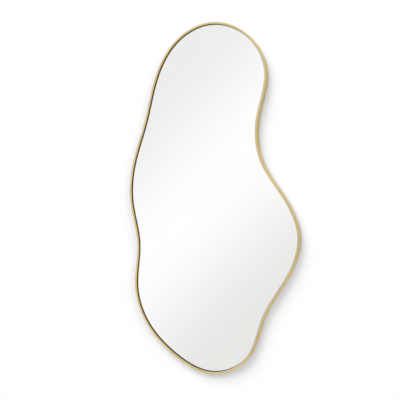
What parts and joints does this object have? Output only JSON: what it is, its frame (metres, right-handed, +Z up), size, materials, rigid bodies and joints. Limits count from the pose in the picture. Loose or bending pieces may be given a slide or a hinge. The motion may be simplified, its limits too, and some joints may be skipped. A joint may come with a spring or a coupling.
{
  "type": "irregular shaped wall mirror",
  "caption": "Tall irregular, pebble-like wall mirror in a thin brass rim, with a backing board, ring hangers that swing and rubber bumpers behind.",
  "frame": {"origin": "on the wall's surface, behind the middle of the mirror's height and width", "axes": "+Z up along the mirror's height; +Y from the mirror to the wall, so the mirror faces -Y; +X to the right of someone who looks into the mirror"},
  "size_m": [0.556, 0.024, 1.1],
  "materials": {
    "rim_brass": "fine satin brushed pale brass, lightly lacquered",
    "silvered_glass": "clear float glass, silvered behind, polished edge with a faint green tint",
    "black_board": "fibreboard with a matt black painted back",
    "foam_tape": "white double-sided foam tape",
    "zinc_steel": "bright zinc plated screw",
    "nickel_steel": "nickel plated pressed steel and wire",
    "black_rubber": "matt moulded black rubber"
  },
  "bodies": {
    "mirror_body": {"rim": "rim_brass", "mirror_glass": "silvered_glass", "backing_board": "black_board", "bonding_tape_1": "foam_tape", "bonding_tape_2": "foam_tape", "bonding_tape_3": "foam_tape", "bonding_tape_4": "foam_tape", "bonding_tape_5": "foam_tape", "rim_lug_1": "rim_brass", "rim_lug_2": "rim_brass", "rim_lug_3": "rim_brass", "rim_lug_4": "rim_brass", "rim_lug_5": "rim_brass", "rim_lug_6": "rim_brass", "rim_lug_7": "rim_brass", "rim_lug_8": "rim_brass", "rim_lug_9": "rim_brass", "rim_lug_10": "rim_brass", "lug_screw_1": "zinc_steel", "lug_screw_2": "zinc_steel", "lug_screw_3": "zinc_steel", "lug_screw_4": "zinc_steel", "lug_screw_5": "zinc_steel", "lug_screw_6": "zinc_steel", "lug_screw_7": "zinc_steel", "lug_screw_8": "zinc_steel", "lug_screw_9": "zinc_steel", "lug_screw_10": "zinc_steel", "hanger_strap_left": "nickel_steel", "hanger_screw_left_upper": "zinc_steel", "hanger_screw_left_lower": "zinc_steel", "hanger_strap_right": "nickel_steel", "hanger_screw_right_upper": "zinc_steel", "hanger_screw_right_lower": "zinc_steel", "wall_bumper_1": "black_rubber", "wall_bumper_2": "black_rubber", "wall_bumper_3": "black_rubber", "wall_bumper_4": "black_rubber"},
    "ring_left": {"hanger_ring_left": "nickel_steel"},
    "ring_right": {"hanger_ring_right": "nickel_steel"}
  },
  "joints": [
    {"name": "ring_left_swing", "type": "hinge", "parent": "mirror_body", "child": "ring_left", "pos_m": [-0.12855, -0.0063, 0.33], "axis": [-1, 0, 0], "range_deg": [0, 180]},
    {"name": "ring_right_swing", "type": "hinge", "parent": "mirror_body", "child": "ring_right", "pos_m": [0.09145, -0.0063, 0.33], "axis": [-1, 0, 0], "range_deg": [0, 180]}
  ]
}
